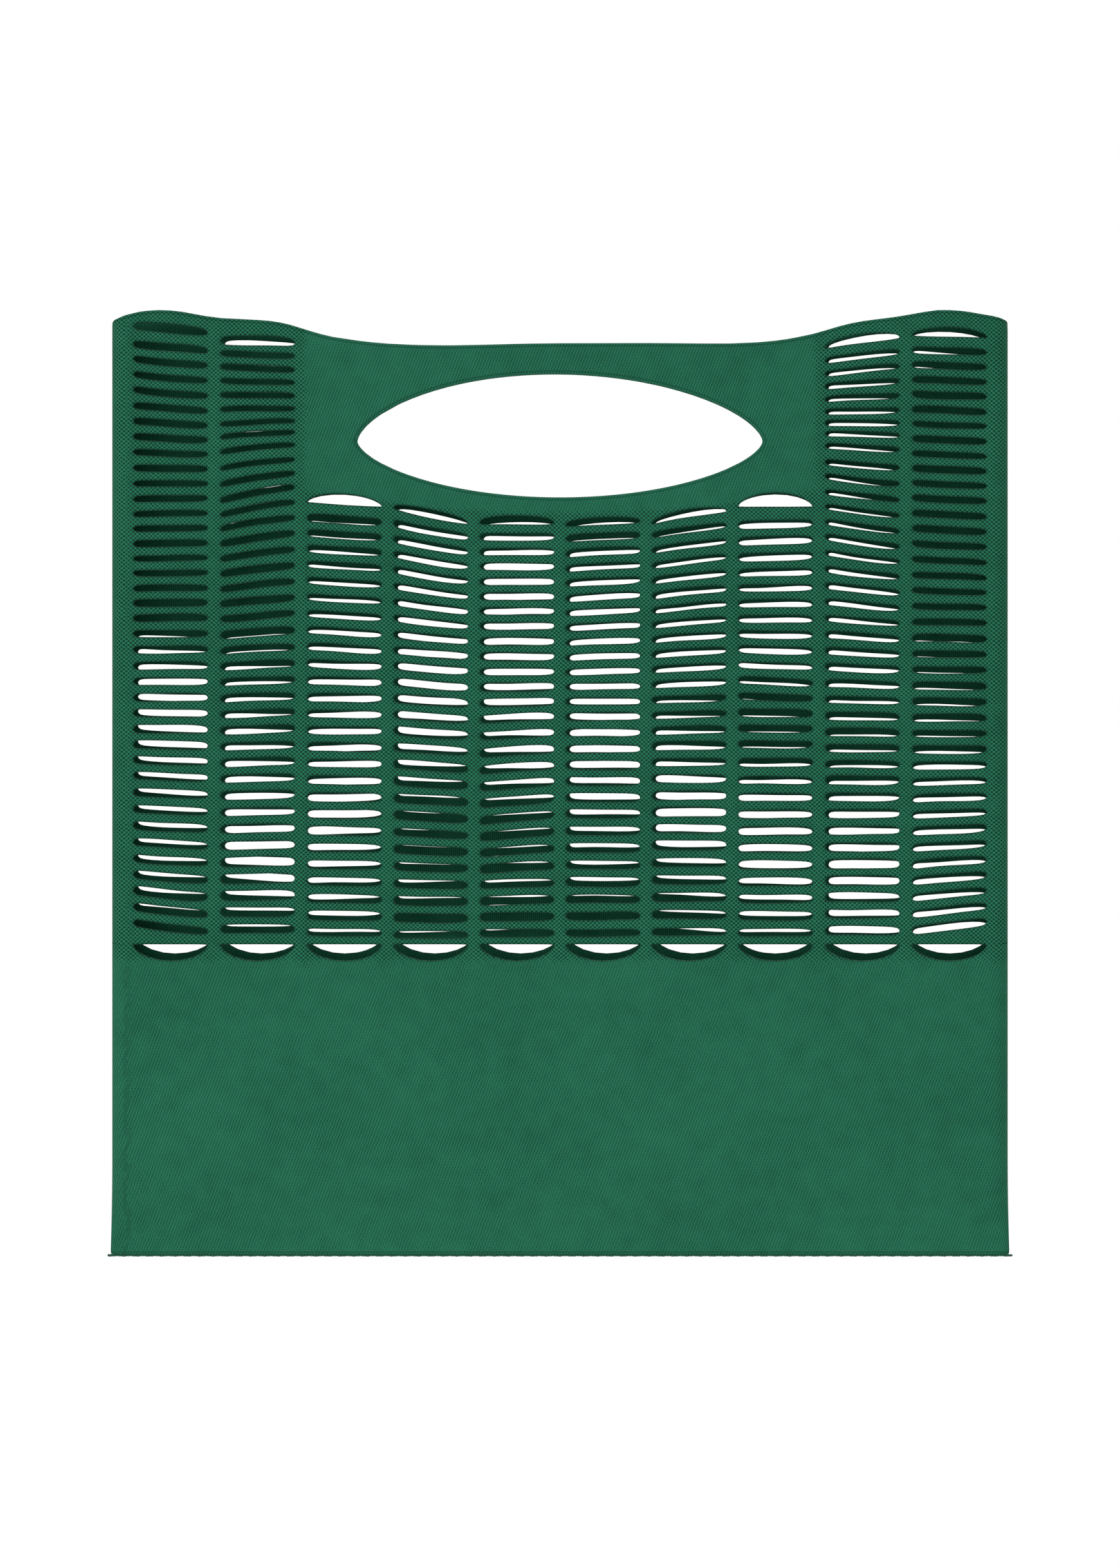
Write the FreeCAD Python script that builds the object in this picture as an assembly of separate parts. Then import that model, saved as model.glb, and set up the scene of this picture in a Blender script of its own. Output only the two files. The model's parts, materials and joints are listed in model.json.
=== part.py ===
"""Knitted string tote bag, hanging empty from its two shoulders.

Millimetres. +Z is up, the front of the bag faces -Y, +X is to the right seen from the front.
The origin is midway between the two shoulder peaks, which are the highest points of the bag.

The bag is one knitted tube: a front and a back layer that run into each other round the two
side folds. Each layer has a plain pouch below, a net of slits above it, a plain yoke, and a
handle band over an eye-shaped hand opening. The layers are built as zones of that tube.
"""
import FreeCAD, Part
import math
import os

from FreeCAD import Vector

# ---- driving dimensions -------------------------------------------------------------------

body_width = 400.0            # across the side folds
body_height = 422.0           # shoulder peaks to the lower edge of the knit

knit_thickness = 1.8          # one layer of the doubled-yarn knit
layer_gap = 10.0              # space between the layers where the empty bag hangs open

crown_drop = 15.0             # handle crowns below the shoulder peaks
shoulder_inset = 25.0         # shoulder peak from the side fold
corner_drop = 4.0             # top corner below the shoulder peak
corner_radius = 2.4           # rounded top corner

hand_hole_width = 181.0       # tip to tip
hand_hole_rise = 29.9         # tips to the top of the opening
hand_hole_drop = 25.2         # tips to the bottom of the opening
hand_hole_fullness = 0.62     # 0.5 is an ellipse, 1.0 is two parabolas
handle_band = 13.6            # knit above the opening, at the crown
handle_leg = 22.7             # knit beside the opening, from its tip to the net

slit_height = 2.8             # opening of one slit in the hanging bag
slit_pitch = 7.06             # least distance from slit to slit down a column
rib_width = 5.0               # plain rib between two columns of slits
centre_columns = 6            # columns below the hand opening
side_columns = 2              # full-height columns at each side
top_hem = 8.5                 # top edge to the middle of the first slit
yoke_band = 10.5              # hand opening to the middle of the first slit below it
yoke_rise = 13.4              # how far the yoke's lower line climbs towards the side nets
arch_rise = 3.6               # first slit of a column, its arched upper edge
crescent_drop = 6.2           # last slit of a column, its sagging lower edge
net_hem = 4.5                 # knit between an end slit's middle and the edge of its zone

pouch_height = 130.0          # plain knit below the net
taper_height = 33.0           # lowest stretch of the pouch, where the layers close up
seam_flange = 4.8             # strip where both layers lie together
tip_flare = 3.0               # how far each bottom corner stands out past the side fold

seam_thread_height = 1.4      # linking chain below the two flanges

handle_side_gap = 0.5         # handle leg to the side net
crease_clearance = 0.3        # handle's rolled lower edge to the yoke

# ---- places that follow from them ----------------------------------------------------------

half_width = body_width / 2
half_gap = layer_gap / 2
half_knit = knit_thickness / 2
fold_radius = half_gap + knit_thickness
fold_x = half_width - fold_radius
layer_middle = half_gap + half_knit

hole_half = hand_hole_width / 2
centre_half = hole_half + handle_leg
hinge_z = -(crown_drop + handle_band + hand_hole_rise)
first_centre_slit = hinge_z - hand_hole_drop - yoke_band

bottom_z = -body_height
flange_z = bottom_z + seam_flange
taper_z = flange_z + taper_height
net_bottom = bottom_z + pouch_height
last_slit = net_bottom + net_hem + crescent_drop - slit_height

past = 20.0                   # how far construction shapes run past the bag


def line(a, b):
    return Part.LineSegment(a, b).toShape()


def arc(a, b, c):
    return Part.Arc(a, b, c).toShape()


def front_point(x, z):
    """A point of a front view outline."""
    return Vector(x, 0, z)


def through_bag(wires):
    """Solid of a front view outline, run through both layers."""
    depth = 2 * (fold_radius + past)
    face = Part.makeFace(wires, "Part::FaceMakerBullseye")
    face.translate(Vector(0, -depth / 2, 0))
    return face.extrude(Vector(0, depth, 0))


def box_between(low, high):
    size = high - low
    return Part.makeBox(size.x, size.y, size.z, low)


def top_edge():
    """Upper edge of the right half, from the middle to the corner arc."""
    flat_end = 0.53 * centre_half
    peak_x = half_width - shoulder_inset
    side_run = peak_x - centre_half
    points = [
        front_point(-flat_end, -crown_drop - 0.5),
        front_point(0, -crown_drop),
        front_point(flat_end, -crown_drop - 0.5),
        front_point(0.8 * centre_half, -crown_drop + 1.2),
        front_point(centre_half, -0.63 * crown_drop),
        front_point(centre_half + 0.43 * side_run, -0.3 * crown_drop),
        front_point(centre_half + 0.75 * side_run, -0.14 * crown_drop),
        front_point(peak_x, 0),
        front_point(half_width - 0.48 * shoulder_inset, -0.25 * corner_drop),
        front_point(half_width - corner_radius, -corner_drop),
    ]
    curve = Part.BSplineCurve()
    curve.interpolate(points)
    whole = curve.toShape()
    right_side = box_between(Vector(0, -past, -body_height), Vector(body_width, past, past))
    return whole.common(right_side).Edges[0]


def half_outline(edge):
    """Closed front view outline of the right half of the bag."""
    side_z = -corner_drop - corner_radius
    turn = corner_radius * (1 - math.sqrt(0.5))
    tip_x = half_width + tip_flare
    top_middle = front_point(0, -crown_drop)
    edge_end = front_point(half_width - corner_radius, -corner_drop)
    side_top = front_point(half_width, side_z)
    corner = arc(edge_end, front_point(half_width - turn, -corner_drop - turn), side_top)
    flare_top = front_point(half_width, taper_z)
    flare_middle = front_point(half_width + 0.22 * tip_flare, (taper_z + bottom_z) / 2)
    tip = front_point(tip_x, bottom_z)
    flare = arc(flare_top, flare_middle, tip)
    low_middle = front_point(0, bottom_z)
    edges = [edge, corner, line(side_top, flare_top), flare, line(tip, low_middle)]
    edges.append(line(low_middle, top_middle))
    return Part.Wire(Part.__sortEdges__(edges))


def bag_silhouette():
    """Everything inside the front view outline, as one solid through both layers."""
    right = through_bag([half_outline(top_edge())])
    left = right.mirror(Vector(0, 0, 0), Vector(1, 0, 0))
    return right.fuse(left).removeSplitter()


def hand_hole():
    """Eye-shaped opening through both layers, pointed arcs with rounded tips."""
    steps = 14
    wires = []
    for reach in (hand_hole_rise, -hand_hole_drop):
        points = []
        for i in range(steps + 1):
            angle = math.pi * i / steps
            rise = reach * math.sin(angle) ** (2 * hand_hole_fullness)
            points.append(front_point(-hole_half * math.cos(angle), hinge_z + rise))
        curve = Part.BSplineCurve()
        curve.interpolate(points)
        wires.append(curve.toShape())
    return through_bag([Part.Wire(wires)])


def slit(x, z, half_length):
    """Plain slit with round ends."""
    r = slit_height / 2
    left = x - half_length
    right = x + half_length
    edges = [
        line(front_point(left + r, z + r), front_point(right - r, z + r)),
        arc(front_point(right - r, z + r), front_point(right, z), front_point(right - r, z - r)),
        line(front_point(right - r, z - r), front_point(left + r, z - r)),
        arc(front_point(left + r, z - r), front_point(left, z), front_point(left + r, z + r)),
    ]
    return Part.Wire(edges)


def bowed_slit(x, straight_z, bow_z, half_length):
    """End slit of a column: one straight edge, one bowed edge."""
    left = front_point(x - half_length, straight_z)
    right = front_point(x + half_length, straight_z)
    return Part.Wire([line(left, right), arc(right, front_point(x, bow_z), left)])


def column(x, first, half_length, rows):
    """All slits of one column, from the arched first one to the crescent."""
    r = slit_height / 2
    step = (first - last_slit) / (rows - 1)
    wires = [bowed_slit(x, first - r, first - r + arch_rise, half_length)]
    for row in range(1, rows - 1):
        wires.append(slit(x, first - row * step, half_length))
    wires.append(bowed_slit(x, last_slit + r, last_slit + r - crescent_drop, half_length))
    return wires


def rows_between(first):
    return int((first - last_slit) / slit_pitch) + 1


def net(low_x, high_x, columns, first_levels, rows, top_wire_edges):
    """Front view prism of one net zone with its columns of slits."""
    pitch = (high_x - low_x) / columns
    half_length = (pitch - rib_width) / 2
    low_left = front_point(low_x, net_bottom)
    low_right = front_point(high_x, net_bottom)
    first_edge = top_wire_edges[0]
    last_edge = top_wire_edges[-1]
    top_left = first_edge.Vertexes[0].Point
    top_right = last_edge.Vertexes[-1].Point
    edges = [line(low_left, top_left)] + top_wire_edges
    edges += [line(top_right, low_right), line(low_right, low_left)]
    wires = [Part.Wire(edges)]
    for i in range(columns):
        x = low_x + (i + 0.5) * pitch
        wires += column(x, first_levels[i], half_length, rows)
    return through_bag(wires)


def layer_slab(low_z, high_z):
    """Front layer as a flat slab."""
    low = Vector(-body_width, -half_gap - knit_thickness, low_z)
    return box_between(low, Vector(body_width, -half_gap, high_z))


def pouch_slab():
    """Front layer below the net: flat, then closing up to the seam flange."""
    profile = [
        (half_gap, net_bottom),
        (half_gap, taper_z),
        (0, flange_z),
        (0, bottom_z),
        (knit_thickness, bottom_z),
        (knit_thickness, flange_z),
        (fold_radius, taper_z),
        (fold_radius, net_bottom),
    ]
    points = [Vector(-body_width, -y, z) for y, z in profile]
    face = Part.Face(Part.makePolygon(points + [points[0]]))
    return face.extrude(Vector(2 * body_width, 0, 0))


def half_oval(z, x, half_depth, reach):
    """Level half ellipse bulging to +X from the line at x, closed by its straight side."""
    steps = 8
    points = []
    for i in range(steps + 1):
        angle = math.pi * (i / steps - 0.5)
        points.append(Vector(x + reach * math.cos(angle), half_depth * math.sin(angle), z))
    curve = Part.BSplineCurve()
    curve.interpolate(points)
    return Part.Wire([curve.toShape(), line(points[-1], points[0])])


def right_fold():
    """Right side fold: the layers run into each other round a half-round edge."""
    tip_x = fold_x + tip_flare
    outer_levels = [
        (bottom_z, tip_x, knit_thickness),
        (flange_z, tip_x, knit_thickness),
        (taper_z, fold_x, fold_radius),
        (0, fold_x, fold_radius),
    ]
    inner_levels = [
        (flange_z, tip_x, 0.05 * half_gap),
        (taper_z, fold_x, half_gap),
        (0, fold_x, half_gap),
    ]
    outer = [half_oval(z, x, depth, fold_radius) for z, x, depth in outer_levels]
    inner = [half_oval(z, x, depth, half_gap) for z, x, depth in inner_levels]
    return Part.makeLoft(outer, True, True).cut(Part.makeLoft(inner, True, True))


def zone(points):
    """Front view polygon, run through both layers."""
    corners = [front_point(x, z) for x, z in points]
    return through_bag([Part.makePolygon(corners + [corners[0]])])


def yoke_line(x):
    """Middle of the first slit of a centre column at x."""
    return first_centre_slit + yoke_rise * (x / centre_half) ** 2


def front_handle(slab, hole):
    """Band over the hand opening; its two legs end in a rolled edge on the hinge line."""
    reach = centre_half - handle_side_gap
    band = slab.common(zone([(-reach, hinge_z), (reach, hinge_z), (reach, past), (-reach, past)]))
    band = band.cut(hole)
    leg = reach - hole_half
    for left in (-reach, hole_half):
        start = Vector(left, -layer_middle, hinge_z)
        band = band.fuse(Part.makeCylinder(half_knit, leg, start, Vector(1, 0, 0)))
    return band.removeSplitter()


def centre_net_edge():
    """Line between the yoke and the centre net."""
    side_z = yoke_line(centre_half) + net_hem
    middle = front_point(0, yoke_line(0) + net_hem)
    return arc(front_point(-centre_half, side_z), middle, front_point(centre_half, side_z))


def front_yoke(slab, hole):
    """Plain knit below the hand opening, down to the centre net."""
    top_z = hinge_z - half_knit - crease_clearance
    edge = centre_net_edge()
    left_end = edge.Vertexes[0].Point
    right_end = edge.Vertexes[-1].Point
    top_left = front_point(-centre_half, top_z)
    top_right = front_point(centre_half, top_z)
    edges = [edge, line(right_end, top_right), line(top_right, top_left), line(top_left, left_end)]
    return slab.common(through_bag([Part.Wire(edges)])).cut(hole)


def front_centre_net(slab):
    pitch = 2 * centre_half / centre_columns
    levels = [yoke_line(-centre_half + (i + 0.5) * pitch) for i in range(centre_columns)]
    rows = rows_between(first_centre_slit)
    prism = net(-centre_half, centre_half, centre_columns, levels, rows, [centre_net_edge()])
    return slab.common(prism)


def edge_height(edge, x):
    """Height of the bag's top edge at x."""
    probe = line(front_point(x, -body_height), front_point(x, past))
    return probe.distToShape(edge)[1][0][0].z


def front_right_net(slab, edge):
    """Side net: full-height columns of slits between the handle and the side fold."""
    pitch = (fold_x - centre_half) / side_columns
    levels = []
    for i in range(side_columns):
        levels.append(edge_height(edge, centre_half + (i + 0.5) * pitch) - top_hem)
    rows = rows_between(-top_hem)
    top = line(front_point(centre_half, past / 2), front_point(fold_x, past / 2))
    return slab.common(net(centre_half, fold_x, side_columns, levels, rows, [top]))


def front_pouch():
    """Plain pouch of the front layer with its half of the seam flange."""
    tip_x = fold_x + tip_flare
    outline = [
        (-fold_x, net_bottom),
        (-fold_x, taper_z),
        (-tip_x, flange_z),
        (-tip_x, bottom_z),
        (tip_x, bottom_z),
        (tip_x, flange_z),
        (fold_x, taper_z),
        (fold_x, net_bottom),
    ]
    return pouch_slab().common(zone(outline))


def bottom_seam_thread():
    """Linking chain that closes both flanges, a flat half-round bead below them."""
    tip_x = half_width + tip_flare
    start = Vector(-tip_x, -knit_thickness, bottom_z)
    middle = Vector(-tip_x, 0, bottom_z - seam_thread_height)
    end = Vector(-tip_x, knit_thickness, bottom_z)
    face = Part.Face(Part.Wire([arc(start, middle, end), line(end, start)]))
    return face.extrude(Vector(2 * tip_x, 0, 0))


def mirrored(shape, normal):
    return shape.mirror(Vector(0, 0, 0), normal)


def build():
    edge = top_edge()
    silhouette = bag_silhouette()
    hole = hand_hole()
    upper = layer_slab(hinge_z - past, past).common(silhouette)
    below = layer_slab(net_bottom, hinge_z)
    full = layer_slab(net_bottom, past)

    front = {
        "handle": front_handle(upper, hole),
        "yoke": front_yoke(below, hole),
        "centre_net": front_centre_net(below),
        "right_net": front_right_net(full, edge).common(silhouette),
        "pouch": front_pouch(),
    }
    front["left_net"] = mirrored(front["right_net"], Vector(1, 0, 0))

    nodes = {}
    for name, shape in front.items():
        nodes["front_" + name] = shape
        nodes["back_" + name] = mirrored(shape, Vector(0, 1, 0))
    nodes["right_side_fold"] = right_fold().common(silhouette)
    nodes["left_side_fold"] = mirrored(nodes["right_side_fold"], Vector(1, 0, 0))
    nodes["bottom_seam_thread"] = bottom_seam_thread()
    return nodes


def main():
    os.makedirs("parts", exist_ok=True)
    for name, shape in build().items():
        solids = shape.Solids
        whole = solids[0] if len(solids) == 1 else Part.makeCompound(solids)
        whole.exportStep("parts/" + name + ".step")
        box = whole.BoundBox
        print(name, len(solids), "solid, volume", round(whole.Volume), "valid", whole.isValid(),
              "z", round(box.ZMin, 2), round(box.ZMax, 2))


main()
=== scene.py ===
"""Looks of the knitted string tote bag: its cloth, its seam, the light and the camera.

Lengths are in millimetres until a mesh is made, and in metres after that. Each layer of the
knitted tube is one grid of lines. Lines across follow the rows of slits, and lines down
follow the columns. The cells inside the slits are left out.
"""
import json
import math

import bpy
import bmesh
import numpy as np
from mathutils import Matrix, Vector
from mathutils.kdtree import KDTree


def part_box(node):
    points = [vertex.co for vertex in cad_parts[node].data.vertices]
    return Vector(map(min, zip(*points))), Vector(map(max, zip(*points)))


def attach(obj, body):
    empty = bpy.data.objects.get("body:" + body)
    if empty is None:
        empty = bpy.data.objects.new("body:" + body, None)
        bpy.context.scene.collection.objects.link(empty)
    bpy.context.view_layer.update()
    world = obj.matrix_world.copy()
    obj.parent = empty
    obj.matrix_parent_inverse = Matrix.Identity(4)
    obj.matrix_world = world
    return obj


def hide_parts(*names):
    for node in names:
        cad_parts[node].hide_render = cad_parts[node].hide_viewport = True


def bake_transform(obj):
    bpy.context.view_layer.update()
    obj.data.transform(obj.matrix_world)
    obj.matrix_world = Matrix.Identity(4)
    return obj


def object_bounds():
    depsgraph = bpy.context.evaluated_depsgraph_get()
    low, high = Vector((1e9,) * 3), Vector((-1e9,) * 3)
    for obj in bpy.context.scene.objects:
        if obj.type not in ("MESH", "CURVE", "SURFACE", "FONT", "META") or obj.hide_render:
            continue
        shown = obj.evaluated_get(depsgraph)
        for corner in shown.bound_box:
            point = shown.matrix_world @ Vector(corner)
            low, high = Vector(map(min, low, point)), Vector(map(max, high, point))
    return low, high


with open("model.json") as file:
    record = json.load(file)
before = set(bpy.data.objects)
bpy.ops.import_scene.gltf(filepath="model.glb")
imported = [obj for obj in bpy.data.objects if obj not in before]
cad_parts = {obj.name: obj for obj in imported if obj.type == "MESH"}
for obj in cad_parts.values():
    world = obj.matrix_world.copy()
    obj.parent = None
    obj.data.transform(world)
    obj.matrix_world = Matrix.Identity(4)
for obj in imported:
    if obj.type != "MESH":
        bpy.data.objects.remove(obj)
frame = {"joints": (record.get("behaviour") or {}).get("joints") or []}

MM = 0.001
cad_low, cad_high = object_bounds()


def box_mm(node):
    low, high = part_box(node)
    return np.array(low) / MM, np.array(high) / MM


# ---- places taken from the CAD -------------------------------------------------------------

yoke_low, yoke_high = box_mm("front_yoke")
net_low, net_high = box_mm("front_centre_net")
side_high = box_mm("front_right_net")[1]
pouch_low, pouch_high = box_mm("front_pouch")
thread_low, thread_high = box_mm("bottom_seam_thread")
joints = {j["name"]: j for j in frame["joints"]}

# KNIT is the cloth's thickness, and MIDDLE the distance from the bag's middle plane to the
# middle of each layer. HINGE is the height of the hinge line, and the net ends at NET_BOTTOM.
KNIT = yoke_high[1] - yoke_low[1]
MIDDLE = -(yoke_high[1] + yoke_low[1]) / 2
HINGE = joints["front_handle_fold"]["pos_m"][2] / MM
CENTRE = net_high[0]
FOLD = side_high[0]
HALF = FOLD + MIDDLE
NET_BOTTOM = net_low[2]
BOTTOM = pouch_low[2]
TIP = pouch_high[0]

# The part's own sizes, which no box gives: where the pouch starts to close, the top of the
# seam flange, the hand opening, and the ribs between the columns of slits.
TAPER = BOTTOM + 37.8
FLANGE = BOTTOM + 4.8
HOLE = 90.5
HOLE_RISE = 29.9
HOLE_DROP = 25.2
HOLE_SLANT = 2.5
FULLNESS = 0.62
RIB = 5.5
DRAWN = 0.4

# ---- the slits -----------------------------------------------------------------------------
# Ten columns from left to right. Rows count down from the top of each column. The knit is
# slack and uneven, so each short list holds a few (row, value) steps down its column.

SIDE_ROWS = 40
ROWS = (SIDE_ROWS, SIDE_ROWS, 28, 28, 28, 28, 28, 28, SIDE_ROWS, SIDE_ROWS)
# Height of each row's middle.
LEVEL = (
    ((1, -8.6), (2, -16.9), (5, -37.4), (12, -84.3), (20, -137.5), (30, -208.5), (39, -275.9)),
    ((1, -14), (2, -20.2), (7, -50.2), (8, -55.5), (9, -61.5), (10, -68.4), (14, -94.8),
     (20, -136.7), (30, -209), (39, -276.3)),
    ((1, -85.3), (2, -93.8), (5, -114.5), (8, -136.6), (17, -202.5), (27, -278)),
    ((1, -91.4), (2, -98.8), (5, -119), (11, -160.3), (16, -196.3), (21, -234), (27, -279)),
    ((1, -94.2), (2, -101.4), (8, -141.2), (14, -182), (20, -226.5), (27, -278.3)),
    ((1, -94.5), (2, -101.2), (8, -141.3), (14, -181.5), (20, -225), (27, -278.2)),
    ((1, -91.2), (2, -98.1), (5, -119), (10, -152.8), (16, -194.5), (22, -239), (27, -277.7)),
    ((1, -85.7), (2, -95.7), (4, -110.2), (10, -152), (16, -194), (18, -210), (27, -278)),
    ((1, -13.2), (2, -20.5), (6, -45.2), (7, -50.6), (8, -55.7), (9, -61.7), (10, -69.5),
     (16, -110.8), (24, -167.2), (30, -210), (39, -277.1)),
    ((1, -10.5), (2, -18.5), (4, -31.7), (12, -84.8), (20, -139.5), (30, -210.5), (39, -275)),
)
# The last row is a crescent, flat on top and this deep. The first row is more or less arched.
CRESCENT = -283.6
SAG = 6.9
ARCHED = (0.4, 0.3, 1.0, 0.8, 0.6, 0.6, 0.8, 1.0, 0.8, 0.9)

# How high each slit gapes, and how much its right end is above its left end.
OPENING = (
    ((1, 4.6), (2, 3.2), (6, 2.8), (16, 2.7), (22, 3.3), (32, 3.6), (38, 4.0), (39, 3.5)),
    ((1, 4.4), (2, 2.7), (7, 2.3), (8, 2.1), (9, 2.4), (14, 2.9), (20, 3.2), (28, 3.3),
     (36, 4.0), (39, 3.6)),
    ((1, 6.5), (2, 3.1), (6, 2.8), (12, 3.4), (18, 3.6), (25, 4.0), (27, 3.5)),
    ((1, 4.4), (2, 3.1), (8, 3.0), (12, 3.6), (18, 3.9), (20, 3.7), (25, 3.8), (27, 3.4)),
    ((1, 4.0), (2, 3.3), (8, 3.1), (13, 3.5), (18, 3.9), (20, 3.7), (26, 3.7), (27, 3.4)),
    ((1, 3.9), (2, 3.0), (12, 2.9), (17, 3.7), (24, 3.9), (26, 3.7), (27, 3.3)),
    ((1, 3.9), (2, 2.8), (12, 2.9), (17, 3.6), (24, 4.0), (27, 3.5)),
    ((1, 7.6), (2, 3.5), (12, 2.9), (15, 3.3), (18, 3.5), (24, 3.9), (27, 3.5)),
    ((1, 4.9), (2, 2.5), (14, 2.5), (20, 2.8), (28, 3.4), (37, 4.0), (39, 3.6)),
    ((1, 5.4), (2, 2.8), (18, 2.8), (24, 3.2), (32, 3.3), (39, 3.6)),
)
TILT = (
    ((1, -3), (5, -3), (9, -1), (12, 0.5), (25, 0), (35, -2), (39, -4)),
    ((1, -1), (3, -1.5), (5, -0.5), (12, 6), (18, 3.5), (23, 1.5), (40, 0)),
    ((1, -2), (10, -2), (13, -0.5), (27, -0.5)),
    ((1, -7), (2, -6.5), (4, -5.5), (7, -4.5), (10, -2.5), (20, -2), (27, 0)),
    ((1, 0), (11, 0), (14, 1.5), (20, 3), (24, 1), (27, 0)),
    ((1, 1.7), (6, 1.7), (10, 1), (13, 0)),
    ((1, 5.5), (2, 4.6), (4, 4), (7, 3), (12, 1.5), (18, 0)),
    ((1, 0), (2, 1), (4, 1), (7, 0), (12, -1.5), (16, 0)),
    ((1, 4.5), (3, 3.5), (7, 0), (11, -3.5), (15, -4.5), (20, -2.5), (24, -1), (30, 0)),
    ((1, -1), (16, -1.8), (20, -0.5), (28, 0), (32, 1.5), (36, 3), (39, 4)),
)
# How far the back layer's slits sit above the front ones: (row, left end, right end).
LIFT = (
    ((1, -4.2, -4.4), (2, -3.5, -3.5), (20, -3.5, -3.5), (21, -1.5, -3.2), (22, -0.9, -2.2),
     (24, -0.3, -0.3), (27, 1.2, 0), (30, 1.5, 0.5), (35, 1.2, 1.8), (39, 2.5, 3.5)),
    ((1, -1.3, -1.3), (2, -3, -3.2), (6, -3.1, -3.1), (7, -2.6, -2.4), (8, -2.6, -2.6),
     (9, -3, -3), (10, -3.5, -3.5), (18, -3.5, -3.5), (24, -1, -2),
     (28, -0.6, -2), (34, -0.2, -0.2), (36, 2, -0.3), (39, 2.5, 2.5)),
    ((1, 0, 0), (2, -2.4, -2.4), (5, -1.3, -1.3), (12, -1.2, 0), (18, -1, 0), (21, 0, 1),
     (25, 1, 1.9), (27, 1.5, 1.5)),
    ((1, -1.6, -1.6), (2, -1.8, -1), (4, -1, -1), (12, 0, 0), (14, 0.1, 1), (16, 0.9, 1.6),
     (18, 1.5, 3.1), (20, 2.9, 3.5), (22, 2.9, 3.5), (24, 1.8, 3.1), (26, 3.3, 3.3),
     (27, 2.1, 2.8)),
    ((1, -2.1, -2.1), (2, -1, -1), (4, 0, 0), (11, 0, 0), (13, 0.9, 0.3), (16, 2.1, 0.4),
     (18, 2.5, 0.9), (20, 3.6, 2.2), (23, 3.5, 3), (24, 2.5, 2.5), (26, 3.6, 3.6),
     (27, 2.5, 3.5)),
    ((1, -2, -2), (2, -2, -2), (3, -0.8, -0.8), (8, 0, 0), (16, 0, 0), (18, 0.9, 0.3),
     (22, 1.9, 1.9), (24, 2.2, 2.2), (26, 3.6, 3.6)),
    ((1, -0.3, -0.3), (2, -1.7, -1.1), (3, -1, -0.6), (4, -0.7, -0.7), (12, -0.7, -0.7),
     (13, -1.3, -2.4),
     (17, -1, -1.8), (18, 0, -0.9), (20, -0.2, -0.2), (23, 1.8, 0.9), (25, 2.8, 1.6),
     (27, 3.3, 1.2)),
    ((1, 0, 0), (2, -0.6, -0.6), (5, -1.5, -0.4), (11, -0.6, -0.6), (13, -2.2, -3),
     (15, -2.7, -2.7), (17, -2, -2), (19, -0.4, -0.4), (22, 0, 0), (25, 1.5, 0.6),
     (27, 1.5, 1.5)),
    ((1, 0, 0), (2, -0.2, -1.2), (5, -0.5, -2), (7, -0.5, -1.2), (11, -1.2, -2.2),
     (18, -0.5, -1.5), (24, -1.2, -1.2), (27, -2.4, -2.4), (30, -1.8, -1.8),
     (32, -0.7, -0.7), (36, -0.2, -0.2), (37, 0.9, 0.9), (39, 0.4, 0.4)),
    ((1, -0.8, -2), (3, -1.6, -3), (6, -3.2, -3.5), (19, -3.2, -3.5), (21, -2.2, -3.2),
     (28, -2.1, -2.1), (29, -1.2, -1.2), (35, -1, -1.9), (37, -0.6, -1.9), (39, -0.6, -1.3)),
)
# The back layer's slits sit this far to the right, and gape less than the front ones.
BACK_SHIFT = 1.7
BACK_OPENING = 0.86
BACK_LIFT = 1.05
CRESCENT_LIFT = 3.1
WANDER = 0.35
BOW_POWER = 0.62

# A slit's outline: share of its full opening at places across it, and the lines down
# beside each tip of the hand opening.
ACROSS = (0, 0.012, 0.035, 0.08, 0.18, 0.34, 0.5, 0.66, 0.8, 0.9, 0.96, 0.988, 1)
PROFILE = (0, 0.52, 0.81, 0.96, 1, 1, 1, 1, 0.97, 0.88, 0.7, 0.45, 0)
TIP_STEPS = (0.25, 0.8, 1.8, 3.5, 6.5, 11.0)


def steps(table, row, place=1):
    """Value at this row, from a column's short list of steps."""
    rows = [entry[0] for entry in table]
    values = [entry[place] for entry in table]
    return float(np.interp(row, rows, values))


def columns():
    """Left and right end of each column: evenly spaced, and drawn a little to the middle."""
    ends = []
    pitch = 2 * FOLD / len(ROWS)
    for i in range(len(ROWS)):
        middle = -FOLD + (i + 0.5) * pitch
        middle -= DRAWN * math.sin(math.pi * middle / FOLD)
        ends.append([middle - (pitch - RIB) / 2, middle + (pitch - RIB) / 2])
    return ends


COLUMNS = columns()


# The bag's top edge from left to right: (x, height).
TOP_EDGE = (
    (-200.5, -7.2), (-199.9, -5.4), (-198.6, -4.1), (-194.5, -2.5), (-188, -0.9), (-182, -0.1),
    (-176, -0.1), (-170, -0.6), (-164, -1.7), (-158, -2.8), (-151, -3.7), (-145, -4.0),
    (-139, -4.3), (-133, -4.6), (-127, -5.2), (-121, -6.5), (-114.5, -8.5), (-108, -10.5),
    (-102, -12.0), (-96, -12.9), (-90, -13.8), (-84, -14.5), (-77, -15.1), (-65, -15.7),
    (-50, -15.9), (-34, -15.6), (-16, -15.1), (0, -14.9), (40, -14.8), (64, -15.0),
    (76, -15.0), (88, -14.5), (95, -13.9), (101, -13.1), (107, -12.0), (113, -10.7),
    (119, -9.0), (125, -7.2), (131.5, -5.6), (138, -4.6), (144, -3.9), (150, -3.1),
    (156, -2.1), (162, -1.0), (168.5, -0.1), (175, -0.1), (181, -0.6), (187, -1.7),
    (193, -2.7), (197, -3.6), (199.2, -4.6), (200.5, -6.8),
)


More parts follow.
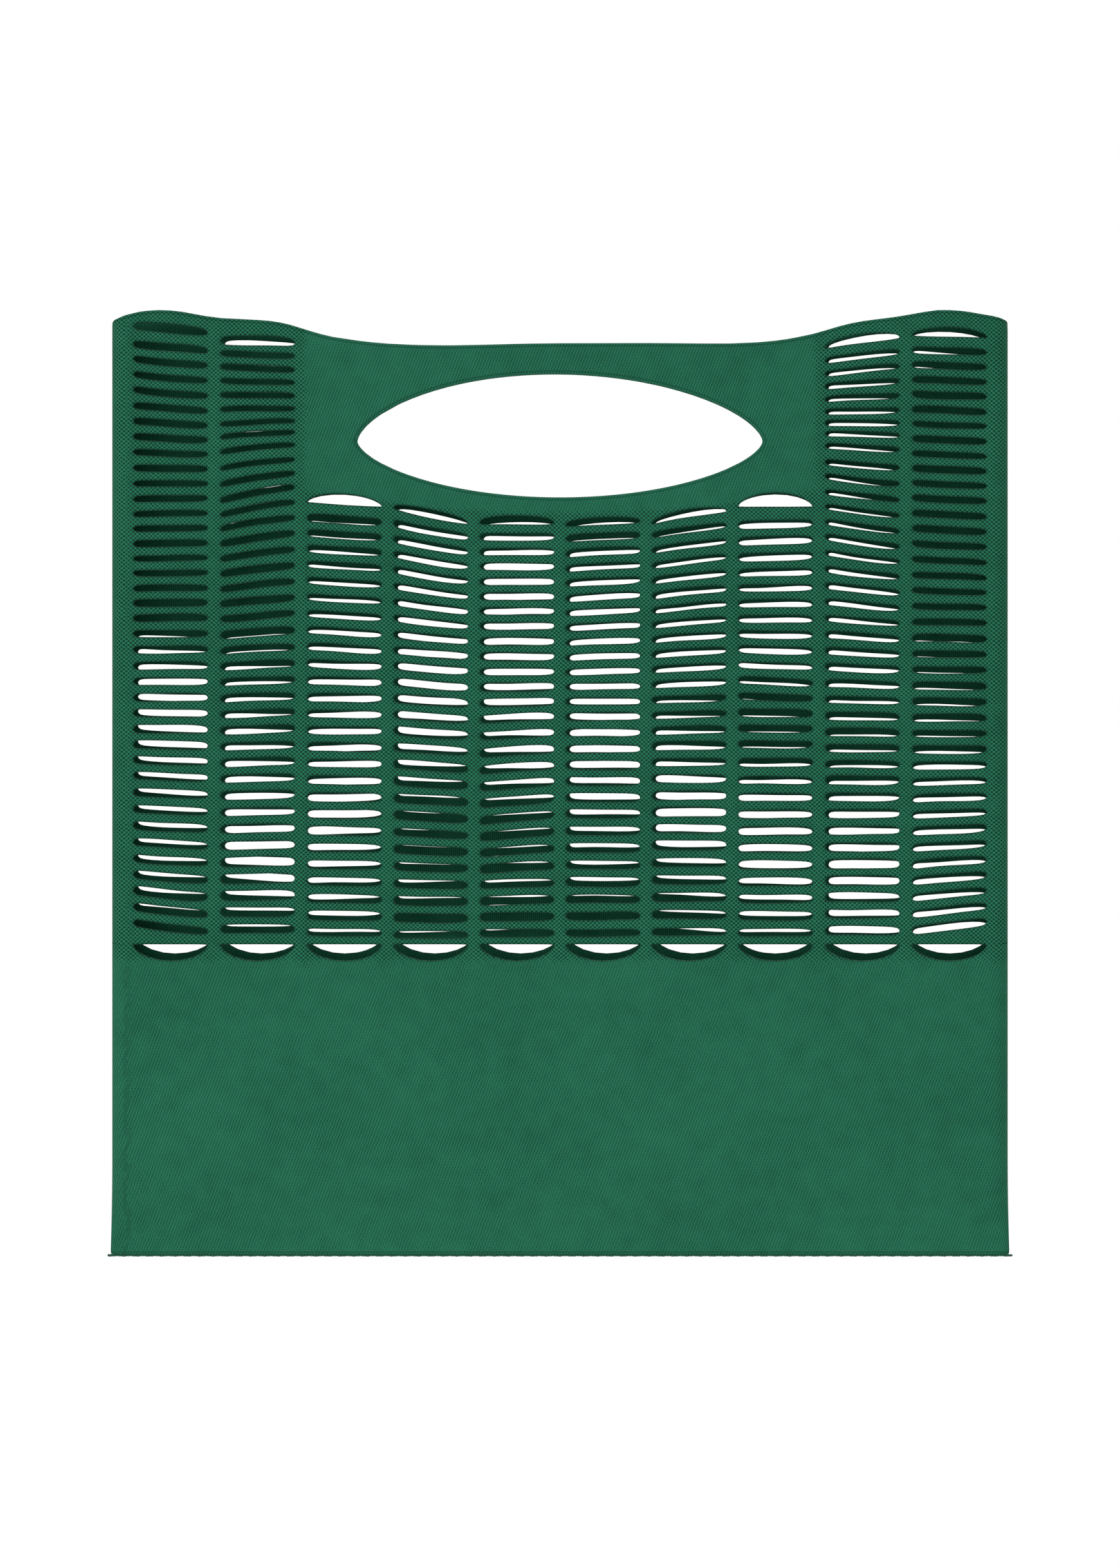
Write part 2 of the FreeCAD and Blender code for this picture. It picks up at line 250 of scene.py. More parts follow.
def top_edge(x):
    """Height of the bag's top edge: low over the handle, a peak at each shoulder."""
    return np.interp(x, [p[0] for p in TOP_EDGE], [p[1] for p in TOP_EDGE])


def hole_edge(x, reach):
    """Height of the hand opening's edge, reach above the hinge line at its middle."""
    x = np.asarray(x)
    slant = HOLE_SLANT * (1 - (x / HOLE) ** 2) if reach > 0 else 0.0
    inside = np.clip(1 - ((x + slant) / HOLE) ** 2, 0, 1)
    return HINGE + reach * inside ** FULLNESS


def slit_lines(column, row, u, back, rng):
    """Lower and upper edge of one slit, at the places u across it."""
    rows = ROWS[column]
    opening = steps(OPENING[column], row)
    lift = 0.0
    if back:
        left = steps(LIFT[column], row, 1)
        right = steps(LIFT[column], row, 2)
        lift = left + (right - left) * u
        if row > 1:
            pitch = steps(LEVEL[column], row - 1) - steps(LEVEL[column], row)
            lift = np.clip(BACK_LIFT * lift, -pitch / 2, pitch / 2)
        opening = BACK_OPENING * opening
    shape = np.interp(u, ACROSS, PROFILE)
    bow = 4 * u * (1 - u)
    if row == rows:
        raise_by = CRESCENT_LIFT if back else 0.0
        low = CRESCENT + raise_by - SAG * bow ** BOW_POWER
        high = CRESCENT + 0.6 * raise_by + 0.35 * shape
        return low, high
    level = steps(LEVEL[column], row)
    middle = level + steps(TILT[column], row) * (1.35 * u - 0.35 * u * u - 0.58) + lift
    wander = rng.uniform(-WANDER, WANDER, 3)
    middle = middle + wander[0] * (bow - 0.6) + 0.5 * wander[1] * np.sin(2 * math.pi * u)
    opening = opening * (1 + 0.3 * wander[2])
    if row == 1:
        arched = ARCHED[column]
        low = middle - 0.5 * opening * (shape * (1 - arched) + 0.55 * arched)
        arch = (1 - arched) * shape + arched * (1.55 * bow ** BOW_POWER - 0.55)
        return low, middle + 0.5 * opening * arch
    return middle - 0.5 * opening * shape, middle + 0.5 * opening * shape


def spread(low, high, count):
    """count + 1 heights from low to high, close together near both ends."""
    height = high - low
    near = np.minimum(RIM_NEAR, 0.12 * height)
    far = np.minimum(RIM_FAR, 0.3 * height)
    lines = [low, low + near, low + far]
    inner = count - 4
    for i in range(1, inner):
        lines.append(low + far + (height - 2 * far) * i / inner)
    return lines + [high - far, high - near, high]


# Lines across, counted from the lower edge: the pouch's, three under the crescents, and then
# one slit and one strip of STRIP cells for each row. HINGE_STRIP holds the hinge line.
STRIP = 6
ROW_LINES = 1 + STRIP
POUCH_LINES = 44
FOOT_LINES = 3
FIRST_SLIT_LINE = POUCH_LINES + FOOT_LINES
HINGE_STRIP = 31
HINGE_LINE = FIRST_SLIT_LINE + HINGE_STRIP * ROW_LINES + 1 + STRIP // 2
TOP_LINE = FIRST_SLIT_LINE + (SIDE_ROWS - 1) * ROW_LINES + 1 + STRIP
RIM_NEAR = 0.3
RIM_FAR = 0.95


def pouch_lines():
    """Heights of the pouch's lines, from the lower edge to just below the crescents."""
    lines = [BOTTOM, BOTTOM + RIM_NEAR, BOTTOM + RIM_FAR, BOTTOM + 2.2, BOTTOM + 3.5, FLANGE]
    top = NET_BOTTOM - 1.2
    count = POUCH_LINES - len(lines)
    for i in range(1, count + 1):
        lines.append(FLANGE + (top - FLANGE) * i / count)
    return lines


def column_heights(column, u, x, back, seed):
    """Heights of every line at the places u across one column, lowest line first."""
    rng = np.random.default_rng(seed + column)
    rows = ROWS[column]
    flat = np.ones_like(u)
    lines = [h * flat for h in pouch_lines()]
    edges = [slit_lines(column, rows - k, u, back, rng) for k in range(rows)]
    low = edges[0][0]
    foot = low - lines[-1]
    lines.append(low - np.maximum(0.6 * foot, np.minimum(1.9, 0.8 * foot)))
    lines.append(low - np.minimum(RIM_FAR, 0.5 * foot))
    lines.append(low - np.minimum(RIM_NEAR, 0.2 * foot))
    for k in range(rows):
        lines.append(edges[k][0])
        if k < rows - 1:
            lines += spread(edges[k][1], edges[k + 1][0], STRIP)[:-1]
    last_high = edges[-1][1]
    top = top_edge(x)
    if rows == SIDE_ROWS:
        lines += spread(last_high, top, STRIP)
        if column in (1, 8):
            below, above = lines[HINGE_LINE - 3], lines[HINGE_LINE + 3]
            lines[HINGE_LINE - 3:HINGE_LINE + 4] = spread_about(below, HINGE * flat, above)
        return np.array(lines), None
    lines += spread(last_high, hole_edge(x, -HOLE_DROP), HINGE_LINE - len(lines))
    above = spread(hole_edge(x, HOLE_RISE), top, TOP_LINE - HINGE_LINE)
    return np.array(lines + above[1:]), above[0]


def spread_about(low, middle, high):
    """The seven heights of a strip whose middle line is given."""
    lower = middle - low
    upper = high - middle
    return [low, low + 0.14 * lower, low + 0.42 * lower, middle,
            high - 0.42 * upper, high - 0.14 * upper, high]


def across_lines(column):
    """Places of one column's lines down, with more beside a tip of the hand opening."""
    u = list(ACROSS)
    left, right = COLUMNS[column]
    width = right - left
    if column == 2:
        tip = (-HOLE - left) / width
        u = [v for v in u if v <= tip - 0.05 or v > 0.75]
        u += [tip - 0.02] + [tip] + [tip + s / width for s in TIP_STEPS]
    if column == 7:
        tip = (HOLE - left) / width
        u = [v for v in u if v >= tip + 0.05 or v < 0.25]
        u += [tip + 0.02] + [tip] + [tip - s / width for s in TIP_STEPS]
    u = sorted(v for v in u if 0 <= v <= 1)
    kept = [u[0]]
    for v in u[1:]:
        if v - kept[-1] > 0.004:
            kept.append(v)
    return np.array(kept)


def layer_grid(back):
    """x of each line down, heights[line down][line across], and which cells are cloth."""
    shift = BACK_SHIFT if back else 0.0
    seed = 70 if back else 20
    parts = []
    for c in range(10):
        u = across_lines(c)
        left, right = COLUMNS[c]
        # Columns 2 and 7 hold the tips of the hand opening, and stay where they are.
        moved = {2: 0.0, 7: 0.0, 9: 0.3 * shift}.get(c, shift)
        x = left + moved + (right - left) * u
        z, upper = column_heights(c, u, x, back, seed)
        parts.append((x, z, z[HINGE_LINE] if upper is None else upper))
    xs, heights, uppers, inside = [], [], [], []

    def add(x, z, upper, column):
        xs.append(x)
        heights.append(z)
        uppers.append(upper)
        inside.append(column)

    first_x, first_z, first_upper = parts[0]
    for x in (-FOLD, first_x[0] - RIM_FAR, first_x[0] - RIM_NEAR):
        add(x, relaxed(first_z[:, 0], x), first_upper[0], -1)
    for c, (x, z, upper) in enumerate(parts):
        if c > 0:
            last_x, last_z, last_upper = parts[c - 1]
            gap = x[0] - last_x[-1]
            near = RIM_NEAR / gap
            far = RIM_FAR / gap
            for f in (near, far, 0.5, 1 - far, 1 - near):
                rib_x = last_x[-1] + gap * f
                rib_z = last_z[:, -1] * (1 - f) + z[:, 0] * f
                rib_z[TOP_LINE] = top_edge(rib_x)
                add(rib_x, rib_z, last_upper[-1] * (1 - f) + upper[0] * f, -1)
        for i in range(len(x)):
            add(x[i], z[:, i], upper[i], c)
    last_x, last_z, last_upper = parts[9]
    for x in (last_x[-1] + RIM_NEAR, last_x[-1] + RIM_FAR, FOLD):
        add(x, relaxed(last_z[:, -1], x), last_upper[-1], -1)
    return np.array(xs), np.array(heights), np.array(uppers), inside


def relaxed(column_z, x):
    """A copy of one line's heights with its top strip brought to the top edge at x."""
    column_z = column_z.copy()
    low = column_z[TOP_LINE - STRIP]
    column_z[TOP_LINE - STRIP:TOP_LINE + 1] = spread(low, float(top_edge(x)), STRIP)
    return column_z


# ---- the knitted tube ----------------------------------------------------------------------
# A place on the tube is q, the distance round it from the middle of the front, and z.

CURL = math.pi * MIDDLE


def wave(q, z):
    """Slow unevenness of the slack cloth, in and out."""
    a = np.sin(q / 31.0 + 0.7) * np.sin(z / 43.0 + 1.1)
    b = np.sin(q / 17.0 + z / 29.0 + 2.0)
    c = np.sin(q / 61.0 - z / 37.0)
    return 0.35 * a + 0.16 * b + 0.45 * c


def place(q, z):
    """Middle of the cloth in space: flat front, half-round side folds, flat back."""
    side = np.sign(q)
    far = np.abs(q)
    angle = np.clip((far - FOLD) / MIDDLE, 0, math.pi)
    back = np.clip(far - FOLD - CURL, 0, None)
    x = np.minimum(far, FOLD) + MIDDLE * np.sin(angle) - back
    y = -MIDDLE * np.cos(angle)
    closing = np.clip((TAPER - z) / (TAPER - FLANGE), 0, 1)
    closing = closing * closing * (3 - 2 * closing)
    flat = 0.52 * KNIT / MIDDLE
    y = y * (1 + (flat - 1) * closing)
    low = np.clip((TAPER + 6 - z) / (TAPER + 6 - BOTTOM), 0, 1)
    spread_out = (TIP + MIDDLE * 0.62 - HALF) * low ** 2
    x = x + spread_out * np.clip((x - 120) / (HALF - 120), 0, 1) ** 2
    slack = np.clip((FOLD - x) / 40, 0, 1) * (1 - closing) * np.abs(np.cos(angle))
    y = y + wave(q, z) * slack
    return np.stack([side * x, y, z], -1)


def facing(q, z):
    """Outward direction of the cloth at q, z."""
    step = 0.05
    along = place(q + step, z) - place(q - step, z)
    up = place(q, z + step) - place(q, z - step)
    out = np.cross(along, up)
    return out / np.linalg.norm(out, axis=-1, keepdims=True)


def net_share(q, z, pouch_top):
    """1 where the stitches are the net's, 0 in the pouch, the handle and the yoke."""
    whole = 4 * FOLD + 2 * CURL
    q = np.where(q > whole / 2, q - whole, q)
    x = np.abs(place(q, z)[..., 0])
    above_pouch = np.clip((z - pouch_top) / 3, 0, 1)
    in_side = np.clip((x - CENTRE) / 3 + 0.5, 0, 1)
    yoke_line = HINGE - HOLE_DROP - 5 + 10 * (x / CENTRE) ** 2
    below_yoke = np.clip((yoke_line - z) / 3, 0, 1)
    return above_pouch * np.maximum(in_side, below_yoke)


class Layer:
    """One layer's grid, with q instead of x, and the back layer taking both side folds."""

    def __init__(self, back):
        xs, heights, uppers, inside = layer_grid(back)
        self.back = back
        self.inside = inside
        if back:
            q = 2 * FOLD + CURL - xs
            self.q = q[::-1]
            self.z = heights[::-1]
            self.upper = uppers[::-1]
            self.inside = inside[::-1]
        else:
            self.q = xs
            self.z = heights
            self.upper = uppers
        self.holes = self.hole_cells()

    def hole_cells(self):
        """True where the cell between lines i and i + 1, j and j + 1 is a slit."""
        count = len(self.q)
        holes = np.zeros((count - 1, TOP_LINE), bool)
        for i in range(count - 1):
            c = self.inside[i]
            if c < 0 or self.inside[i + 1] != c:
                continue
            for k in range(ROWS[c]):
                holes[i, FIRST_SLIT_LINE + k * ROW_LINES] = True
        return holes


def join_folds(front, back):
    """The back layer with the two side folds added, out to the front layer's ends."""
    turns = 12
    q, z, upper, inside = [], [], [], []

    def turn(first, last, first_upper, last_upper, start, side, turn_steps):
        for i in turn_steps:
            f = i / turns
            q.append(start + CURL * f)
            x = side * (FOLD + MIDDLE * math.sin(math.pi * f))
            z.append(relaxed(first * (1 - f) + last * f, x))
            upper.append(first_upper * (1 - f) + last_upper * f)
            inside.append(-1)

    turn(front.z[-1], back.z[0], front.upper[-1], back.upper[0], FOLD, 1, range(turns))
    q += list(back.q)
    z += list(back.z)
    upper += list(back.upper)
    inside += back.inside
    turn(back.z[-1], front.z[0], back.upper[-1], front.upper[0], back.q[-1], -1,
         range(1, turns + 1))
    back.q = np.array(q)
    back.z = np.array(z)
    back.upper = np.array(upper)
    back.inside = inside
    back.holes = back.hole_cells()


def round_place(q, z):
    """place() and facing() for a q that may run past the middle of the back."""
    whole = 4 * FOLD + 2 * CURL
    q = np.where(q > whole / 2, q - whole, q)
    at = place(q, z)
    out = facing(q, z)
    return at, out


EDGE_STEP = 0.4


def edge_points(layer):
    """Points every 0.4 mm along the slits and along the open edges, in (q, z)."""
    q, z = layer.q, layer.z
    slits = []
    hems = []

    def run(found, q0, z0, q1, z1):
        length = math.hypot(q1 - q0, z1 - z0)
        count = int(length / EDGE_STEP) + 1
        for s in range(count + 1):
            f = s / count
            found.append((q0 + (q1 - q0) * f, z0 + (z1 - z0) * f))

    for i in range(len(q) - 1):
        for j in np.nonzero(layer.holes[i])[0]:
            run(slits, q[i], z[i, j], q[i + 1], z[i + 1, j])
            run(slits, q[i], z[i, j + 1], q[i + 1], z[i + 1, j + 1])
        run(hems, q[i], z[i, TOP_LINE], q[i + 1], z[i + 1, TOP_LINE])
        run(hems, q[i], z[i, 0], q[i + 1], z[i + 1, 0])
        low0, low1 = z[i, HINGE_LINE], z[i + 1, HINGE_LINE]
        high0, high1 = layer.upper[i], layer.upper[i + 1]
        if high0 - low0 > 0.01 or high1 - low1 > 0.01:
            run(hems, q[i], low0, q[i + 1], low1)
            run(hems, q[i], high0, q[i + 1], high1)
    return slits, hems


def edge_trees(layer):
    """Nearest-point trees of one layer's slits and of its open edges."""
    found = []
    for points in edge_points(layer):
        if not layer.back:
            points = points + [(q + 4 * FOLD + 2 * CURL, z) for q, z in points]
        tree = KDTree(len(points))
        for n, (q, z) in enumerate(points):
            tree.insert((q, z, 0), n)
        tree.balance()
        found.append(tree)
    return found


# Free edges are rounded over ROUNDED. Over CURLED they curl inwards, and thicken inside.
ROUNDED = 0.95
CURLED = 1.9
CURL_IN = 0.45
ROLL = 0.55
SHARP_ANGLE = 1.2


def cloth_piece(name, q, z, holes, trees, ring=False):
    """A closed mesh of cloth over the grid q[i], z[i][j], without the cells in holes."""
    grid_q = np.repeat(q[:, None], z.shape[1], 1)
    flat_q = grid_q.ravel()
    flat_z = z.ravel()
    to_slit = np.empty(len(flat_q))
    to_hem = np.empty(len(flat_q))
    for n in range(len(flat_q)):
        at = (flat_q[n], flat_z[n], 0)
        to_slit[n] = min(slits.find(at)[2] for slits, hems in trees)
        to_hem[n] = min(hems.find(at)[2] for slits, hems in trees)
    gap = np.minimum(to_slit, to_hem)
    part = np.clip(gap / ROUNDED, 0, 1)
    half = 0.5 * KNIT * np.sqrt(1 - (1 - part) ** 2)
    half[gap < 0.02] = 0
    near = 1 - np.clip(gap / CURLED, 0, 1)
    lift = -CURL_IN * near ** 2
    roll = ROLL * part * near
    middle, out = round_place(flat_q, flat_z)
    outer = middle + out * (lift + half)[:, None]
    inner = middle + out * (lift - half - roll)[:, None]
    count_i, count_j = z.shape
    index = np.arange(count_i * count_j).reshape(count_i, count_j)
    total = count_i * count_j
    keep = ~holes
    i, j = np.nonzero(keep)
    a, b, c, d = index[i, j], index[i + 1, j], index[i + 1, j + 1], index[i, j + 1]
    faces = np.concatenate([
        np.stack([a, b, c, d], 1),
        np.stack([a + total, d + total, c + total, b + total], 1),
    ])
    # Border of the kept cells, where the outer and inner sides are joined.
    padded = np.zeros((count_i + 1, count_j + 1), bool)
    padded[1:-1, 1:-1] = keep
    if ring:
        padded[0] = padded[-2]
        padded[-1] = padded[1]
    rims = []
    for gi in range(count_i):
        for gj in range(count_j - 1):
            if padded[gi, gj + 1] != padded[gi + 1, gj + 1]:
                rims.append((index[gi, gj], index[gi, gj + 1]))
    for gi in range(count_i - 1):
        for gj in range(count_j):
            if padded[gi + 1, gj] != padded[gi + 1, gj + 1]:
                rims.append((index[gi, gj], index[gi + 1, gj]))
    rims = np.array(rims)
    rims = rims[(half[rims[:, 0]] > 0) | (half[rims[:, 1]] > 0)]
    caps = np.stack([rims[:, 0], rims[:, 1], rims[:, 1] + total, rims[:, 0] + total], 1)
    verts = np.concatenate([outer, inner]) * MM
    faces = np.concatenate([faces, caps])
    mesh = bpy.data.meshes.new(name)
    mesh.from_pydata(verts.tolist(), [], faces.tolist())
    # The inner side's net starts at CRESCENT + 2, so below that the inner side has the plain
    # stitches and less painted shade.
    net = [net_share(flat_q, flat_z, top) for top in (NET_BOTTOM, CRESCENT + 2)]
    values = {
        "cloth": np.stack([np.tile(flat_q, 2), np.tile(flat_z, 2), np.zeros(2 * total)], 1),
        "edge": np.tile(to_slit, 2),
        "hem": np.tile(to_hem, 2),
        "net": np.concatenate(net),
        "inner": np.repeat([0.0, 1.0], total),
    }
    for key, value in values.items():
        kind = "FLOAT_VECTOR" if value.ndim == 2 else "FLOAT"
        attribute = mesh.attributes.new(key, kind, "POINT")
        field = "vector" if value.ndim == 2 else "value"
        attribute.data.foreach_set(field, value.astype(np.float32).ravel())
    bm = bmesh.new()
    bm.from_mesh(mesh)
    bmesh.ops.remove_doubles(bm, verts=bm.verts, dist=2e-6)
    bmesh.ops.dissolve_degenerate(bm, edges=bm.edges, dist=1e-6)
    bmesh.ops.recalc_face_normals(bm, faces=bm.faces)
    for face in bm.faces:
        face.smooth = True
    bm.edges.ensure_lookup_table()
    for edge in bm.edges:
        if len(edge.link_faces) == 2 and edge.calc_face_angle(0) > SHARP_ANGLE:
            edge.smooth = False
    bm.to_mesh(mesh)
    bm.free()
    piece = bpy.data.objects.new(name, mesh)
    bpy.context.scene.collection.objects.link(piece)
    dq = np.abs(np.diff(q))[:, None]
    height = 0.5 * (np.diff(z, axis=1)[:-1] + np.diff(z, axis=1)[1:])
    area = float((dq * height * keep).sum()) * MM * MM
    size = (float(q.max() - q.min()) * MM, float(z.max() - z.min()) * MM)
    return piece, size, area


front = Layer(False)
back = Layer(True)
join_folds(front, back)
trees = [edge_trees(front), edge_trees(back)]


def part_of(layer, name, low, high, start=None, end=None, upper=False):
    """The piece between two lines across, and two lines down."""
    start = 0 if start is None else start
    end = len(layer.q) - 1 if end is None else end
    q = layer.q[start:end + 1]
    z = layer.z[start:end + 1, low:high + 1].copy()
    if upper:
        z[:, 0] = layer.upper[start:end + 1]
    holes = layer.holes[start:end, low:high]
    return cloth_piece(name, q, z, holes, trees)


def middle_line(layer):
    """The line down nearest to the middle of the layer."""
    centre = 0.0 if not layer.back else 2 * FOLD + CURL
    return int(np.argmin(np.abs(layer.q - centre)))


POUCH_TOP = POUCH_LINES - 1
pieces = {}
tube_q = np.concatenate([front.q, back.q[1:]])
tube_z = np.concatenate([front.z, back.z[1:]])
tube_holes = np.zeros((len(tube_q) - 1, POUCH_TOP), bool)
pieces["pouch"] = cloth_piece(
    "pouch", tube_q, tube_z[:, :POUCH_TOP + 1], tube_holes, trees, ring=True)
pieces["front_net"] = part_of(front, "front_net", POUCH_TOP, HINGE_LINE)
pieces["back_net"] = part_of(back, "back_net", POUCH_TOP, HINGE_LINE)
split = middle_line(front)
pieces["front_handle_left"] = part_of(
    front, "front_handle_left", HINGE_LINE, TOP_LINE, end=split, upper=True)
pieces["front_handle_right"] = part_of(
    front, "front_handle_right", HINGE_LINE, TOP_LINE, start=split, upper=True)
split = middle_line(back)
pieces["back_handle_right"] = part_of(
    back, "back_handle_right", HINGE_LINE, TOP_LINE, end=split, upper=True)
pieces["back_handle_left"] = part_of(
    back, "back_handle_left", HINGE_LINE, TOP_LINE, start=split, upper=True)


# ---- the linking chain along the bottom ----------------------------------------------------

def seam_chain():
    """Small loops of yarn that close both layers along the lower edge, as one tube."""
    radius = 0.34
    loop = 2.1
    turns = int((thread_high[0] - thread_low[0]) / loop)
    per_turn = 14
    sides = 6
    count = turns * per_turn
    t = np.linspace(0, turns, count + 1)
    start = thread_low[0] + radius + 0.6
    length = thread_high[0] - thread_low[0] - 2 * radius - 1.2
    x = start + length * t / turns + 0.55 * np.sin(4 * math.pi * t)
    y = 1.2 * np.cos(2 * math.pi * t)
    z = BOTTOM - 0.2 - 0.35 * np.cos(4 * math.pi * t) * (0.7 + 0.3 * np.sin(2.3 * t))
    path = np.stack([x, y, z], 1)
    along = np.gradient(path, axis=0)
    along /= np.linalg.norm(along, axis=1)[:, None]
    side = np.cross(along, np.array([0.0, 0.0, 1.0]))
    side /= np.linalg.norm(side, axis=1)[:, None]
    up = np.cross(side, along)
    rings = []
    for s in range(sides):
        angle = 2 * math.pi * s / sides
        rings.append(path + radius * (math.cos(angle) * side + math.sin(angle) * up))
    verts = np.stack(rings, 1).reshape(-1, 3)
    faces = []
    for i in range(count):
        for s in range(sides):
            n = (s + 1) % sides
            faces.append((i * sides + s, i * sides + n, (i + 1) * sides + n, (i + 1) * sides + s))
    faces.append(tuple(range(sides))[::-1])
    faces.append(tuple(count * sides + s for s in range(sides)))
    mesh = bpy.data.meshes.new("seam_chain")
    mesh.from_pydata((verts * MM).tolist(), [], faces)
    for polygon in mesh.polygons:
        polygon.use_smooth = True
    piece = bpy.data.objects.new("seam_chain", mesh)
    bpy.context.scene.collection.objects.link(piece)
    return piece


chain = seam_chain()


# ---- materials -----------------------------------------------------------------------------

def linear(r, g, b):
    """sRGB 0-255 to the linear colour a shader takes."""
    values = []
    for v in (r, g, b):
        v = v / 255
        values.append(v / 12.92 if v <= 0.04045 else ((v + 0.055) / 1.055) ** 2.4)
    return (*values, 1.0)


class Nodes:
    """Short hand for building one material's node tree."""

    def __init__(self, name):
        self.material = bpy.data.materials.new(name)
        self.material.use_nodes = True
        self.tree = self.material.node_tree
        self.shader = self.tree.nodes["Principled BSDF"]

    def add(self, kind, **settings):
        node = self.tree.nodes.new(kind)
        for key, value in settings.items():
            setattr(node, key, value)
        return node

    def link(self, source, target):
        self.tree.links.new(source, target)

    def math(self, operation, a, b=None, c=None):
        node = self.add("ShaderNodeMath", operation=operation)
        for n, value in enumerate((a, b, c)):
            if value is None:
                continue
            if isinstance(value, (int, float)):
                node.inputs[n].default_value = value
            else:
                self.link(value, node.inputs[n])
        return node.outputs[0]

    def attribute(self, name, output):
        node = self.add("ShaderNodeAttribute", attribute_name=name)
        return node.outputs[output]

    def ramp(self, value, low, high, to_low=0.0, to_high=1.0):
        node = self.add("ShaderNodeMapRange", interpolation_type="SMOOTHSTEP")
        self.link(value, node.inputs["Value"])
        node.inputs["From Min"].default_value = low
        node.inputs["From Max"].default_value = high
        node.inputs["To Min"].default_value = to_low
        node.inputs["To Max"].default_value = to_high
        return node.outputs["Result"]

    def mix(self, factor, a, b, kind="MIX"):
        node = self.add("ShaderNodeMix", data_type="RGBA", blend_type=kind)
        for socket, value in (("Factor", factor), ("A", a), ("B", b)):
            found = [s for s in node.inputs if s.name == socket and s.enabled][0]
            if isinstance(value, (int, float, tuple)):
                found.default_value = value
            else:
                self.link(value, found)
        return [s for s in node.outputs if s.enabled][0]

    def noise(self, vector, scale, detail=2.0):
        node = self.add("ShaderNodeTexNoise")
        self.link(vector, node.inputs["Vector"])
        node.inputs["Scale"].default_value = scale
        node.inputs["Detail"].default_value = detail
        return node.outputs["Fac"]


def stitch_pattern(n, x, z, width, height):
    """1 in the dark dots between the stitches: rows of dots, each row half a step across."""
    across = n.math("MULTIPLY", x, 2 * math.pi / width)
    down = n.math("MULTIPLY", z, math.pi / height)
    product = n.math("MULTIPLY", n.math("COSINE", across), n.math("COSINE", down))
    return n.math("MULTIPLY_ADD", product, 0.5, 0.5)


# Width and height of a stitch, and the pitch of the coils on the rolled edges.
NET_STITCH = (2.0, 0.9)
PLAIN_STITCH = (1.3, 0.9)
COIL_STITCH = 0.92


